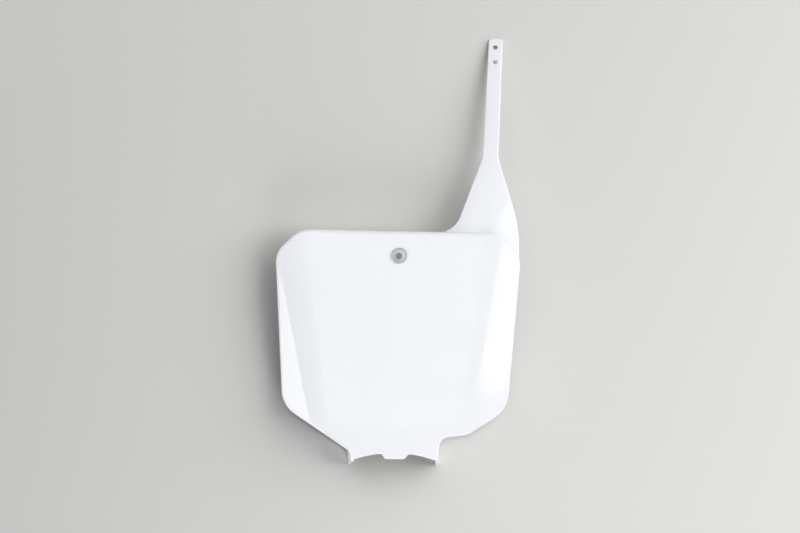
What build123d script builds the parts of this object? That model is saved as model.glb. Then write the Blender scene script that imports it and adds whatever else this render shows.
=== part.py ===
from build123d import *
import os
from math import asin, cos, degrees, radians, sin, tan

# Front number board of a motocross bike: one moulded polypropylene shell with a strap arm, and the
# dished steel collar that its fixing bolt goes through. Millimetres.
# Frame: origin on the collar's axis at the front of the face, +X to the right and +Y up the board
# as seen from the front, +Z out of the face along the bolt. The board lies face up, on the toes of
# its two neck walls and on the end of its arm.

# Moulding
WALL = 2.2
DRAFT = 5.0
FOLD_RADIUS = 1.0

# Face: its outline, drawn on a plane just above it, narrows from the top corners to the neck
SKETCH_LIFT = 2.0
TOP_RISE = 24.0
TOP_WIDTH = 244.4
TOP_CUT = 23.0
TOP_CORNER_RADIUS = 23.0
SIDE_LENGTH = 153.2
LOW_WIDTH = 223.4
LOW_CORNER_RADIUS = 28.0
TAPER_LENGTH = 44.0

# Neck, between the forks: beside the hose relief its side starts higher
NECK_WIDTH = 89.6
NECK_END_WIDTH = 86.6
NECK_LENGTH = 10.3
NECK_ROOT_RADIUS = 11.0
NECK_BEND_LENGTH = 56.5
NECK_BEND_DROP = 5.0
RELIEF_WIDTH = 27.7
RELIEF_RISE = 14.6
RELIEF_RADIUS = 20.0

# Wings: each side of the crowned face rolls back, more broadly and more tightly going down
EDGE_SLOPE = 5.0
WING_TOP_BREADTH = 30.5
WING_TOP_RADIUS = 105.0
WING_LOW_BREADTH = 42.0
WING_LOW_RADIUS = 73.0
WING_END_SLOPE = 65.0
FACE_LEAST_Z = 0.3
FLAT_STEPS = 6
BEND_STEPS = 4

# Rear rim of the skirt, seen from the side: from the top flange to the toes of the neck walls
RIM_TOP_DEPTH = 13.0
TOE_DEPTH = 43.5
TOE_REACH = 7.5
TOE_RADIUS = 5.0

# Front edge of the neck: a shallow arch between its walls, with a tab in the middle
ARCH_RISE = 8.8
ARCH_RADIUS = 122.0
ARCH_END_RADIUS = 4.0
TAB_ROOT_WIDTH = 29.0
TAB_END_WIDTH = 19.2
TAB_LENGTH = 6.1
TAB_RADIUS = 1.6

# Arm: a convex sheet set back behind the top of the face, narrowing into a strap
ARM_WALL = 2.6
ARM_SETBACK = 8.0
ARM_SIDE_INSET = 0.8
ARM_ROOT_WIDTH = 67.0
ARM_ROOT_RADIUS = 26.0
ARM_ROOT_LEAN = 8.0
ARM_ROOT_CROWN = 150.0
ARM_SHOULDER_RISE = 7.0
ARM_SHOULDER_RADIUS = 140.0
ARM_RISE = 77.0
ARM_CURL = 0.6
ARM_EDGE = 0.8
ARM_FACE_LEAST_Z = 0.7
STRAP_INSET = 30.7
STRAP_WIDTH = 15.7
STRAP_LEAN = 4.0
STRAP_CROWN = 65.0
STRAP_BEND_RADIUS = 28.0
STRAP_LENGTH = 122.6
STRAP_SIDESTEP = 5.0
STRAP_END_WIDTH = 14.2
STRAP_END_RADIUS = 2.5
TIE_HOLE_DIAMETER = 5.0
TIE_HOLE_SPACING = 15.8
TIE_HOLE_MARGIN = 8.4

# Collar, and its seat in the face
BORE_DIAMETER = 6.4
BARREL_DIAMETER = 9.0
FLANGE_DIAMETER = 15.4
FLANGE_STAND = 1.0
FLANGE_LIP = 0.9
DISH_DEPTH = 0.6
COLLAR_EDGE = 0.25
COLLAR_STAND = 0.3
COLLAR_CLEARANCE = 0.1
SEAT_DEPTH = 0.6
PAD_DIAMETER = 22.0
PAD_DEPTH = 4.6


def along(value, start, end, at_start, at_end):
    """Even run from at_start to at_end while value goes from start to end."""
    return at_start + (at_end - at_start) * (value - start) / (end - start)


def rounded_outline(corners):
    """Face bounded by straight edges, each corner given with its radius."""
    points = [point for point, radius in corners]
    radii = [radius for point, radius in corners]
    return make_face(FilletPolyline(*points, radius=radii, close=True))


def edges_of(solid, lowest, highest):
    """Edges of the faces whose normal has a Z between the two values."""
    faces = [face for face in solid.faces() if lowest < face.normal_at().Z < highest]
    return [edge for face in faces for edge in face.edges()]


# Face and skirt

TOP_Y = TOP_RISE
SIDE_TOP_Y = TOP_Y - TOP_CUT
LOW_Y = SIDE_TOP_Y - SIDE_LENGTH
NECK_ROOT_Y = LOW_Y - TAPER_LENGTH
NECK_END_Y = NECK_ROOT_Y - NECK_LENGTH
NECK_BEND_Y = NECK_END_Y + NECK_BEND_LENGTH
TOE_Y = NECK_END_Y - TOE_REACH
NECK_BELOW_Y = TOE_Y - NECK_ROOT_RADIUS
ARCH_TOP_Y = NECK_END_Y + ARCH_RISE
TAB_END_Y = ARCH_TOP_Y - TAB_LENGTH
RELIEF_ROOT_Y = NECK_ROOT_Y + RELIEF_RISE
RELIEF_START_X = NECK_WIDTH / 2 + RELIEF_WIDTH


def face_outline():
    """Outline of the face, clockwise from the left end of its top edge."""
    shoulder_y = along(RELIEF_START_X, LOW_WIDTH / 2, NECK_WIDTH / 2, LOW_Y, NECK_ROOT_Y)
    below_x = along(NECK_BELOW_Y, NECK_ROOT_Y, NECK_END_Y, NECK_WIDTH, NECK_END_WIDTH) / 2
    return rounded_outline([
        ((TOP_CUT - TOP_WIDTH / 2, TOP_Y), TOP_CORNER_RADIUS),
        ((TOP_WIDTH / 2 - TOP_CUT, TOP_Y), TOP_CORNER_RADIUS),
        ((TOP_WIDTH / 2, SIDE_TOP_Y), TOP_CORNER_RADIUS),
        ((LOW_WIDTH / 2, LOW_Y), LOW_CORNER_RADIUS),
        ((RELIEF_START_X, shoulder_y), RELIEF_RADIUS),
        ((NECK_WIDTH / 2, RELIEF_ROOT_Y), NECK_ROOT_RADIUS),
        ((below_x, NECK_BELOW_Y), 0),
        ((-below_x, NECK_BELOW_Y), 0),
        ((-NECK_WIDTH / 2, NECK_ROOT_Y), NECK_ROOT_RADIUS),
        ((-LOW_WIDTH / 2, LOW_Y), LOW_CORNER_RADIUS),
        ((-TOP_WIDTH / 2, SIDE_TOP_Y), TOP_CORNER_RADIUS),
    ])


def skirt_block(inset):
    """Everything inside the skirt, or inside a wall set in from it, narrowing towards the front."""
    height = SKETCH_LIFT + TOE_DEPTH + TOE_RADIUS
    flare = height * tan(radians(DRAFT))
    foot = offset(face_outline(), amount=flare - inset, kind=Kind.INTERSECTION)
    return extrude(Plane.XY.offset(SKETCH_LIFT - height) * foot, amount=height, taper=DRAFT)


def neck_drop(y):
    """How far the face has bent back at this height."""
    return NECK_BEND_DROP * max(0.0, along(y, NECK_BEND_Y, NECK_END_Y, 0, 1)) ** 2


def face_section(y, inset):
    """Cross-section under the face: a crown arc, and a tangent roll arc for each wing."""
    top_half = TOP_WIDTH / 2 - WING_TOP_BREADTH
    low_half = LOW_WIDTH / 2 - WING_LOW_BREADTH
    half = along(y, SIDE_TOP_Y, LOW_Y, top_half, low_half)
    roll = along(y, SIDE_TOP_Y, LOW_Y, WING_TOP_RADIUS, WING_LOW_RADIUS)
    slope = radians(EDGE_SLOPE)
    crown = half / sin(slope)
    crown_z = -neck_drop(y) - crown
    roll_x = (crown - roll) * sin(slope)
    roll_z = crown_z + (crown - roll) * cos(slope)
    turn = WING_END_SLOPE - EDGE_SLOPE
    right = CenterArc((roll_x, roll_z), roll - inset, 90 - WING_END_SLOPE, turn)
    middle = CenterArc((0, crown_z), crown - inset, 90 - EDGE_SLOPE, 2 * EDGE_SLOPE)
    left = CenterArc((-roll_x, roll_z), roll - inset, 90 + EDGE_SLOPE, turn)
    right_end = right @ 0
    left_end = left @ 1
    floor_z = left_end.Y - 2 * TOE_DEPTH
    box = Polyline(left_end, (left_end.X, floor_z), (right_end.X, floor_z), right_end)
    return Plane.XZ.offset(-y) * make_face([right, middle, left, box])


def face_block(inset):
    """Everything under the face, or under a face set in from it."""
    above_y = TOP_Y + TOP_CUT
    flat = [along(step, 0, FLAT_STEPS, above_y, NECK_BEND_Y) for step in range(FLAT_STEPS)]
    bend_end_y = NECK_BELOW_Y - NECK_ROOT_RADIUS
    bent = [along(step, 0, BEND_STEPS, NECK_BEND_Y, bend_end_y) for step in range(BEND_STEPS + 1)]
    stations = flat + bent
    return loft([face_section(y, inset) for y in stations])


def blank(inset):
    """Solid board, or the hollow inside its walls, with sharp folds between face and skirt."""
    return (skirt_block(inset) & face_block(inset)).solid()


def folds(block):
    """Edges where the face of a blank meets its skirt."""
    skirt_edges = edges_of(block, -FACE_LEAST_Z, FACE_LEAST_Z)
    return [edge for edge in edges_of(block, FACE_LEAST_Z, 1) if edge in skirt_edges]


def side_profile():
    """What is kept of the skirt, seen from the side in Y and Z: above its rim, up to the neck's end."""
    clear = TOE_DEPTH
    rim_y = TOP_Y + clear
    rim_z = along(rim_y, TOP_Y, TOE_Y, -RIM_TOP_DEPTH, -TOE_DEPTH)
    end_y = along(clear, -NECK_BEND_DROP, -TOE_DEPTH, NECK_END_Y, TOE_Y)
    return rounded_outline([
        ((rim_y, clear), 0),
        ((rim_y, rim_z), 0),
        ((TOE_Y, -TOE_DEPTH), TOE_RADIUS),
        ((end_y, clear), 0),
    ])


def neck_arch():
    """What is cut out of the front of the neck between its walls, on both sides of its tab."""
    below = ARCH_TOP_Y - NECK_BELOW_Y
    flare = (SKETCH_LIFT + NECK_BEND_DROP + WALL + FOLD_RADIUS) * tan(radians(DRAFT))
    window = Pos(0, ARCH_TOP_Y - below / 2) * Rectangle(NECK_END_WIDTH + 2 * (flare - WALL), below)
    arch = Pos(0, ARCH_TOP_Y - ARCH_RADIUS) * Circle(ARCH_RADIUS) & window
    tab = Polygon(
        (-TAB_ROOT_WIDTH / 2, ARCH_TOP_Y),
        (TAB_ROOT_WIDTH / 2, ARCH_TOP_Y),
        (TAB_END_WIDTH / 2, TAB_END_Y),
        (-TAB_END_WIDTH / 2, TAB_END_Y),
        align=None,
    )
    cut = arch - tab
    arch_ends = cut.vertices().filter_by(lambda end: abs(end.X) > TAB_ROOT_WIDTH and end.Y > TOE_Y)
    cut = fillet(arch_ends, ARCH_END_RADIUS)
    tab_corners = cut.vertices().filter_by(lambda end: abs(end.X) < TAB_ROOT_WIDTH and end.Y > TOE_Y)
    cut = fillet(tab_corners, TAB_RADIUS)
    return extrude(cut, amount=NECK_BEND_DROP + FOLD_RADIUS + 2 * WALL, both=True)


def moulded_shell():
    """Face, wings, skirt and neck, before the arm joins them."""
    shell = fillet(folds(blank(0)), FOLD_RADIUS + WALL) - chamfer(folds(blank(WALL)), FOLD_RADIUS)
    return (shell & extrude(Plane.YZ * side_profile(), amount=TOP_WIDTH, both=True)) - neck_arch()


# Arm

REST_Z = side_profile().bounding_box().min.Y
ARM_SIDE_DEPTH = RIM_TOP_DEPTH + SKETCH_LIFT
ARM_RIGHT_X = face_outline().bounding_box().max.X + ARM_SIDE_DEPTH * tan(radians(DRAFT)) - ARM_SIDE_INSET
ARM_LEFT_X = ARM_RIGHT_X - ARM_ROOT_WIDTH
ARM_ROOT_X = (ARM_LEFT_X + ARM_RIGHT_X) / 2
STRAP_X = ARM_RIGHT_X - STRAP_INSET
STRAP_Y = TOP_Y + ARM_RISE
STRAP_END_X = STRAP_X + STRAP_SIDESTEP
STRAP_END_Y = STRAP_Y + STRAP_LENGTH


def arm_height(y):
    """Front of the arm on its centre line, which curls back down to the plane the toes rest on."""
    drop = -ARM_SETBACK - ARM_WALL - REST_Z
    share = max(0.0, along(y, TOP_Y, STRAP_END_Y, 0, 1))
    return -ARM_SETBACK - drop * ((1 - ARM_CURL) * share + ARM_CURL * share**2)


def arm_section(y, x, lean, crown, half):
    """Cross-section of the arm's sheet: an arc of even thickness, leaning to the right."""
    tilt = radians(lean)
    centre = (x - crown * sin(tilt), arm_height(y) - crown * cos(tilt))
    spread = degrees(asin(half / crown))
    front = CenterArc(centre, crown, 90 - lean - spread, 2 * spread)
    back = CenterArc(centre, crown - ARM_WALL, 90 - lean - spread, 2 * spread)
    ends = [Line(front @ 0, back @ 0), Line(front @ 1, back @ 1)]
    return Plane.XZ.offset(-y) * make_face([front, back, *ends])


def arm_sheet():
    """Curved sheet that the arm is cut from, wider than the arm all along."""
    root = (ARM_ROOT_X, ARM_ROOT_LEAN, ARM_ROOT_CROWN, ARM_ROOT_WIDTH / 2 + ARM_ROOT_RADIUS)
    strap = (STRAP_X, STRAP_LEAN, STRAP_CROWN, STRAP_WIDTH)
    waist = [(at_root + at_strap) / 2 for at_root, at_strap in zip(root, strap)]
    middle = ((STRAP_X + STRAP_END_X) / 2, 0, STRAP_CROWN, STRAP_WIDTH)
    end = (STRAP_END_X, 0, STRAP_CROWN, STRAP_WIDTH)
    return loft([
        arm_section(SIDE_TOP_Y - 2 * ARM_ROOT_RADIUS, *root),
        arm_section(TOP_Y, *root),
        arm_section((TOP_Y + STRAP_Y) / 2, *waist),
        arm_section(STRAP_Y, *strap),
        arm_section((STRAP_Y + STRAP_END_Y) / 2, *middle),
        arm_section(STRAP_END_Y + STRAP_WIDTH, *end),
    ])


def arm_outline():
    """Outline of the arm, clockwise from its foot, which lies behind the face."""
    foot_x = ARM_LEFT_X - 2 * ARM_ROOT_RADIUS
    foot_y = SIDE_TOP_Y - ARM_ROOT_RADIUS
    return rounded_outline([
        ((foot_x, foot_y), 0),
        ((foot_x, TOP_Y), 0),
        ((ARM_LEFT_X, TOP_Y), ARM_ROOT_RADIUS),
        ((STRAP_X - STRAP_WIDTH / 2, STRAP_Y), STRAP_BEND_RADIUS),
        ((STRAP_END_X - STRAP_END_WIDTH / 2, STRAP_END_Y), STRAP_END_RADIUS),
        ((STRAP_END_X + STRAP_END_WIDTH / 2, STRAP_END_Y), STRAP_END_RADIUS),
        ((STRAP_X + STRAP_WIDTH / 2, STRAP_Y), STRAP_BEND_RADIUS),
        ((ARM_RIGHT_X, TOP_Y + ARM_SHOULDER_RISE), ARM_SHOULDER_RADIUS),
        ((ARM_RIGHT_X, foot_y), 0),
    ])


def tie_hole_plane():
    """Plane on the front of the strap, half way between its two tie holes."""
    y = STRAP_END_Y - TIE_HOLE_MARGIN - TIE_HOLE_SPACING / 2
    x = along(y, STRAP_Y, STRAP_END_Y, STRAP_X, STRAP_END_X)
    reach = TIE_HOLE_SPACING / 2
    slope = (arm_height(y + reach) - arm_height(y - reach)) / TIE_HOLE_SPACING
    return Plane((x, y, arm_height(y)), x_dir=(0, 1, slope), z_dir=(0, -slope, 1))


def strap_arm():
    """Arm with broken front edges and tie holes, less what would lie in the hollow of the board."""
    arm = (arm_sheet() & extrude(arm_outline(), amount=2 * TOE_DEPTH, both=True)).solid()
    arm = chamfer(edges_of(arm, ARM_FACE_LEAST_Z, 1), ARM_EDGE)
    hole = Cylinder(TIE_HOLE_DIAMETER / 2, 4 * ARM_WALL)
    holes = [tie_hole_plane() * Pos(side * TIE_HOLE_SPACING / 2, 0) * hole for side in (-1, 1)]
    return arm - skirt_block(WALL) - holes


# Collar

def mounting_collar():
    """Turned collar: a barrel in the board's hole, under a flange dished down to the bore."""
    bore = BORE_DIAMETER / 2
    barrel = BARREL_DIAMETER / 2
    flange = FLANGE_DIAMETER / 2
    end_z = -PAD_DEPTH - COLLAR_STAND
    profile = make_face(Polyline(
        (bore, end_z),
        (barrel, end_z),
        (barrel, -SEAT_DEPTH),
        (flange, -SEAT_DEPTH),
        (flange, FLANGE_STAND),
        (flange - FLANGE_LIP, FLANGE_STAND),
        (bore, FLANGE_STAND - DISH_DEPTH),
        close=True,
    ))
    rim = profile.vertices().filter_by(lambda corner: corner.X > flange - COLLAR_EDGE and corner.Y > 0)
    return revolve(Plane.XZ * chamfer(rim, COLLAR_EDGE), Axis.Z)


def collar_pad():
    """Round pad that thickens the face behind the collar."""
    from_back = (Align.CENTER, Align.CENTER, Align.MIN)
    return Pos(0, 0, -PAD_DEPTH) * Cylinder(PAD_DIAMETER / 2, PAD_DEPTH - WALL / 2, align=from_back)


def collar_seat():
    """Hole for the collar's barrel, and the flat recess that its flange sits in."""
    from_back = (Align.CENTER, Align.CENTER, Align.MIN)
    hole = Cylinder(BARREL_DIAMETER / 2 + COLLAR_CLEARANCE, 4 * PAD_DEPTH)
    recess = Cylinder(FLANGE_DIAMETER / 2 + COLLAR_CLEARANCE, PAD_DEPTH, align=from_back)
    return hole + Pos(0, 0, -SEAT_DEPTH) * recess


number_board = moulded_shell() + strap_arm() + collar_pad() - collar_seat()

os.makedirs("parts", exist_ok=True)
export_step(number_board, "parts/number_board.step")
export_step(mounting_collar(), "parts/mounting_collar.step")
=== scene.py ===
import bpy
from math import cos, pi, radians, sin
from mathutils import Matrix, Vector


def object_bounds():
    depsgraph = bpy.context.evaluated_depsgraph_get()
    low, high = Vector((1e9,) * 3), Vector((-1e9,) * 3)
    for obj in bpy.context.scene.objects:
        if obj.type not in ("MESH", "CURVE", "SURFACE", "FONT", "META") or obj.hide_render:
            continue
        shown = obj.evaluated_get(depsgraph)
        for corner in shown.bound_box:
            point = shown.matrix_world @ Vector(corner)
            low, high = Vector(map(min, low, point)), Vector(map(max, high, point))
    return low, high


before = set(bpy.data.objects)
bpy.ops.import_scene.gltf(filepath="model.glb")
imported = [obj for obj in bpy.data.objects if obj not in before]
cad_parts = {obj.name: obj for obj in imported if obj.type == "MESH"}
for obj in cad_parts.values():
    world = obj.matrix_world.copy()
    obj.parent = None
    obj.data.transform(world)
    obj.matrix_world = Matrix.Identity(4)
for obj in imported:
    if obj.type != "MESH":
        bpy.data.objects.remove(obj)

cad_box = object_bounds()


# Number board: one injection moulding, with face, rolled wings, skirt, neck and strap arm in one piece.
# It is white polypropylene from a polished mould, glossy and without paint or print.
# It lies face up, on the toes of its neck and on the end of its arm.

MM = 0.001


def linear(hex_colour):
    """Linear RGBA from an sRGB hex colour."""
    channels = [int(hex_colour[start:start + 2], 16) / 255 for start in (1, 3, 5)]
    return [c / 12.92 if c <= 0.04045 else ((c + 0.055) / 1.055) ** 2.4 for c in channels] + [1.0]


def new_material(name):
    """Empty node material."""
    material = bpy.data.materials.new(name)
    material.use_nodes = True
    material.node_tree.nodes.clear()
    return material


def add_node(material, kind, settings, links=()):
    """Adds a shader node with its settings, and its links as (own input, other node, other output)."""
    node = material.node_tree.nodes.new(kind)
    for name, value in settings.items():
        if name in node.inputs:
            node.inputs[name].default_value = value
        else:
            setattr(node, name, value)
    for own_input, other, other_output in links:
        material.node_tree.links.new(other.outputs[other_output], node.inputs[own_input])
    return node


# White polypropylene: the pigment is cool, and the melt leaves a tone that drifts slowly over the face.
# The polished mould gives sharp reflections, which the shrinking of the wall makes a little wavy.
# Light sinks a little way into the wall before it comes back, which softens the shading.
COOL_WHITE = "#ECEDF1"
CLEAR_WHITE = "#F0F1F4"
FLOW_SIZE = 85 * MM
SHRINK_SIZE = 14 * MM
SHRINK_DEPTH = 0.012 * MM
PEEL_SIZE = 1.6 * MM
PEEL_DEPTH = 0.0012 * MM
POLISH_SIZE = 30 * MM
POLISH_BEST = 0.04
POLISH_WORST = 0.07
MOULD_EDGE_RADIUS = 0.7 * MM
GLOW_DEPTH = 1.5 * MM
POLYPROPYLENE_IOR = 1.49

# Most of a noise texture's values lie between these two.
NOISE_LOW = 0.3
NOISE_HIGH = 0.7

polypropylene = new_material("white_polypropylene")
board_place = add_node(polypropylene, "ShaderNodeTexCoord", {})
flow = add_node(polypropylene, "ShaderNodeTexNoise", {"Scale": 1 / FLOW_SIZE, "Detail": 2.0}, [
    ("Vector", board_place, "Object"),
])
flow_tone = add_node(polypropylene, "ShaderNodeMixRGB", {
    "Color1": linear(COOL_WHITE), "Color2": linear(CLEAR_WHITE),
}, [("Fac", flow, "Fac")])
shrink = add_node(polypropylene, "ShaderNodeTexNoise", {"Scale": 1 / SHRINK_SIZE, "Detail": 1.0}, [
    ("Vector", board_place, "Object"),
])
peel = add_node(polypropylene, "ShaderNodeTexNoise", {"Scale": 1 / PEEL_SIZE, "Detail": 2.0}, [
    ("Vector", board_place, "Object"),
])
polish = add_node(polypropylene, "ShaderNodeTexNoise", {"Scale": 1 / POLISH_SIZE, "Detail": 3.0}, [
    ("Vector", board_place, "Object"),
])
polish_roughness = add_node(polypropylene, "ShaderNodeMapRange", {
    "From Min": NOISE_LOW, "From Max": NOISE_HIGH, "To Min": POLISH_BEST, "To Max": POLISH_WORST,
}, [("Value", polish, "Fac")])
mould_edge = add_node(polypropylene, "ShaderNodeBevel", {"Radius": MOULD_EDGE_RADIUS, "samples": 6})
shrink_waves = add_node(polypropylene, "ShaderNodeBump", {"Distance": SHRINK_DEPTH}, [
    ("Height", shrink, "Fac"), ("Normal", mould_edge, "Normal"),
])
peel_waves = add_node(polypropylene, "ShaderNodeBump", {"Distance": PEEL_DEPTH}, [
    ("Height", peel, "Fac"), ("Normal", shrink_waves, "Normal"),
])
board_shader = add_node(polypropylene, "ShaderNodeBsdfPrincipled", {
    "IOR": POLYPROPYLENE_IOR,
    "Subsurface Weight": 1.0,
    "Subsurface Radius": (1.0, 1.0, 1.0),
    "Subsurface Scale": GLOW_DEPTH,
}, [
    ("Base Color", flow_tone, "Color"), ("Roughness", polish_roughness, "Result"),
    ("Normal", peel_waves, "Normal"),
])
add_node(polypropylene, "ShaderNodeOutputMaterial", {}, [("Surface", board_shader, "BSDF")])

for slot in bpy.data.objects["number_board"].material_slots:
    slot.material = polypropylene


# Mounting collar: a dished steel collar for the fixing bolt, turned from bar and zinc plated.
# Its barrel sits in the hole in the face, and its flange in a shallow recess.

# Zinc plate: pale and bluish, a little blotchy from its passivation, over the rings that turning leaves.
# Real rings are about 0.1 mm apart, and these are coarser so that they show.
BLUISH_ZINC = "#E4F4FA"
PALE_ZINC = "#F5FBFD"
PASSIVATION_SIZE = 3.5 * MM
ZINC_SMOOTH = 0.55
ZINC_ROUGH = 0.65
RING_PITCH = 0.45 * MM
RING_DEPTH = 0.012 * MM

# A wave texture turns through this many radians over one unit of length at a scale of 1.
WAVE_RATE = 20

zinc = new_material("zinc_plated_steel")
collar_place = add_node(zinc, "ShaderNodeTexCoord", {})
passivation = add_node(zinc, "ShaderNodeTexNoise", {"Scale": 1 / PASSIVATION_SIZE, "Detail": 3.0}, [
    ("Vector", collar_place, "Object"),
])
zinc_tone = add_node(zinc, "ShaderNodeMixRGB", {
    "Color1": linear(BLUISH_ZINC), "Color2": linear(PALE_ZINC),
}, [("Fac", passivation, "Fac")])
zinc_roughness = add_node(zinc, "ShaderNodeMapRange", {
    "From Min": NOISE_LOW, "From Max": NOISE_HIGH, "To Min": ZINC_SMOOTH, "To Max": ZINC_ROUGH,
}, [("Value", passivation, "Fac")])
turning = add_node(zinc, "ShaderNodeTexWave", {
    "wave_type": "RINGS", "rings_direction": "Z", "Scale": 2 * pi / (WAVE_RATE * RING_PITCH),
}, [("Vector", collar_place, "Object")])
turned_rings = add_node(zinc, "ShaderNodeBump", {"Distance": RING_DEPTH}, [("Height", turning, "Fac")])
zinc_shader = add_node(zinc, "ShaderNodeBsdfPrincipled", {"Metallic": 1.0}, [
    ("Base Color", zinc_tone, "Color"), ("Roughness", zinc_roughness, "Result"),
    ("Normal", turned_rings, "Normal"),
])
add_node(zinc, "ShaderNodeOutputMaterial", {}, [("Surface", zinc_shader, "BSDF")])

for slot in bpy.data.objects["mounting_collar"].material_slots:
    slot.material = zinc


# Floor: a wide sheet of pale studio paper that the board lies on.
# It is matt, with a fine mottle, and is painted paler towards the lower side and a little towards the right,
# as painted light.

FLOOR_SIZE = 14.0

# Studio paper: the fibres give it a fine relief and no shine. Its tone is painted from grey to near white, a
# painted gradient of light that stands in for more light towards the lower side and a little towards the
# right.
PAPER_IN_PAINTED_SHADE = "#E6E6E2"
PAPER_IN_PAINTED_LIGHT = "#F3F3F0"
PAINTED_LIGHT_SPAN = 0.9
PAINTED_LIGHT_TURN = radians(65)
FIBRE_SIZE = 1.2 * MM
FIBRE_DEPTH = 0.02 * MM
PAPER_ROUGHNESS = 0.85

bpy.ops.object.select_all(action="DESELECT")
bpy.ops.mesh.primitive_plane_add(size=FLOOR_SIZE, location=(0, 0, cad_box[0][2]))
floor = bpy.context.object
floor.name = "floor"
bpy.ops.object.transform_apply(location=True)

paper = new_material("studio_paper")
paper_place = add_node(paper, "ShaderNodeTexCoord", {})
# Painted light: the paper's tone is mixed from grey to pale along this turned axis, as painted shade at one
# side and painted light at the other.
painted_light_axis = add_node(paper, "ShaderNodeMapping", {"Rotation": (0, 0, PAINTED_LIGHT_TURN)}, [
    ("Vector", paper_place, "Object"),
])
painted_light_run = add_node(paper, "ShaderNodeSeparateXYZ", {}, [("Vector", painted_light_axis, "Vector")])
painted_light_amount = add_node(paper, "ShaderNodeMapRange", {
    "interpolation_type": "SMOOTHSTEP", "From Min": -PAINTED_LIGHT_SPAN / 2, "From Max": PAINTED_LIGHT_SPAN / 2,
}, [("Value", painted_light_run, "X")])
paper_tone_with_painted_light = add_node(paper, "ShaderNodeMixRGB", {
    "Color1": linear(PAPER_IN_PAINTED_SHADE), "Color2": linear(PAPER_IN_PAINTED_LIGHT),
}, [("Fac", painted_light_amount, "Result")])
fibre = add_node(paper, "ShaderNodeTexNoise", {"Scale": 1 / FIBRE_SIZE, "Detail": 2.0}, [
    ("Vector", paper_place, "Object"),
])
fibre_relief = add_node(paper, "ShaderNodeBump", {"Distance": FIBRE_DEPTH}, [("Height", fibre, "Fac")])
paper_shader = add_node(paper, "ShaderNodeBsdfPrincipled", {"Roughness": PAPER_ROUGHNESS}, [
    ("Base Color", paper_tone_with_painted_light, "Color"), ("Normal", fibre_relief, "Normal"),
])
add_node(paper, "ShaderNodeOutputMaterial", {}, [("Surface", paper_shader, "BSDF")])
floor.data.materials.append(paper)


# Studio light: a softbox on the right casts the shadow, and a tall window beside it shows in the right wing.
# Two panels fill in from the upper left and from below. The left panel and the overhead softbox are flagged,
# so that they light the board and its collar alone and leave the shadow on the paper.

BOARD_MIDDLE = Vector((0, -0.08, 0))
SKY_COLOUR = "#EEF3FF"
SKY_STRENGTH = 0.05


def softbox(name, azimuth, reach, height, aim_height, size, power):
    """Area light at an azimuth from +X towards +Y, aimed at a height above the middle of the board."""
    turn = radians(azimuth)
    aim = BOARD_MIDDLE + Vector((0, 0, aim_height))
    data = bpy.data.lights.new(name, "AREA")
    data.shape = "RECTANGLE"
    data.size, data.size_y = size
    data.energy = power
    lamp = bpy.data.objects.new(name, data)
    lamp.location = BOARD_MIDDLE + Vector((reach * cos(turn), reach * sin(turn), height))
    lamp.rotation_euler = (aim - lamp.location).to_track_quat("-Z", "Y").to_euler()
    lamp.visible_camera = False
    bpy.context.collection.objects.link(lamp)
    return lamp


key_softbox = softbox(
    "key_softbox", azimuth=30, reach=2.46, height=1.72, aim_height=0, size=(3.4, 3.4), power=84)
key_softbox.visible_glossy = False
softbox("tall_window", azimuth=3.5, reach=2.0, height=2.2, aim_height=2.2, size=(1.2, 3.4), power=25)
softbox("upper_panel", azimuth=130, reach=1.38, height=1.16, aim_height=0, size=(1.2, 1.2), power=6)
softbox("low_panel", azimuth=-75, reach=1.46, height=0.65, aim_height=0, size=(1.0, 0.8), power=7.5)
overhead_softbox = softbox(
    "overhead_softbox", azimuth=90, reach=0.05, height=2.6, aim_height=0, size=(1.4, 1.4), power=5)
left_panel = softbox(
    "left_panel", azimuth=211, reach=1.44, height=0.70, aim_height=0, size=(1.3, 1.07), power=16)

flagged = bpy.data.collections.new("flagged")
flagged.objects.link(bpy.data.objects["number_board"])
flagged.objects.link(bpy.data.objects["mounting_collar"])
overhead_softbox.light_linking.receiver_collection = flagged
left_panel.light_linking.receiver_collection = flagged

world = bpy.data.worlds.new("studio")
bpy.context.scene.world = world
world.use_nodes = True
sky = world.node_tree.nodes["Background"]
sky.inputs["Color"].default_value = linear(SKY_COLOUR)
sky.inputs["Strength"].default_value = SKY_STRENGTH


# Camera: about two metres above the floor, looking almost straight down from the left of the collar.
# The turn is in degrees, and the lens and the sensor's width are in millimetres, as Blender takes them.

CAMERA_HEIGHT = 2.0
CAMERA_ASIDE = (-0.066, -0.010)
CAMERA_TURN = (-0.015, -1.93, 1.1)
CAMERA_LENS = 90
SENSOR_WIDTH = 36

camera_data = bpy.data.cameras.new("camera")
camera_data.lens = CAMERA_LENS
camera_data.sensor_width = SENSOR_WIDTH
camera = bpy.data.objects.new("camera", camera_data)
camera.location = (*CAMERA_ASIDE, CAMERA_HEIGHT)
camera.rotation_mode = "ZYX"
camera.rotation_euler = [radians(angle) for angle in CAMERA_TURN]
bpy.context.collection.objects.link(camera)
bpy.context.scene.camera = camera

bpy.context.scene.view_settings.view_transform = "Standard"
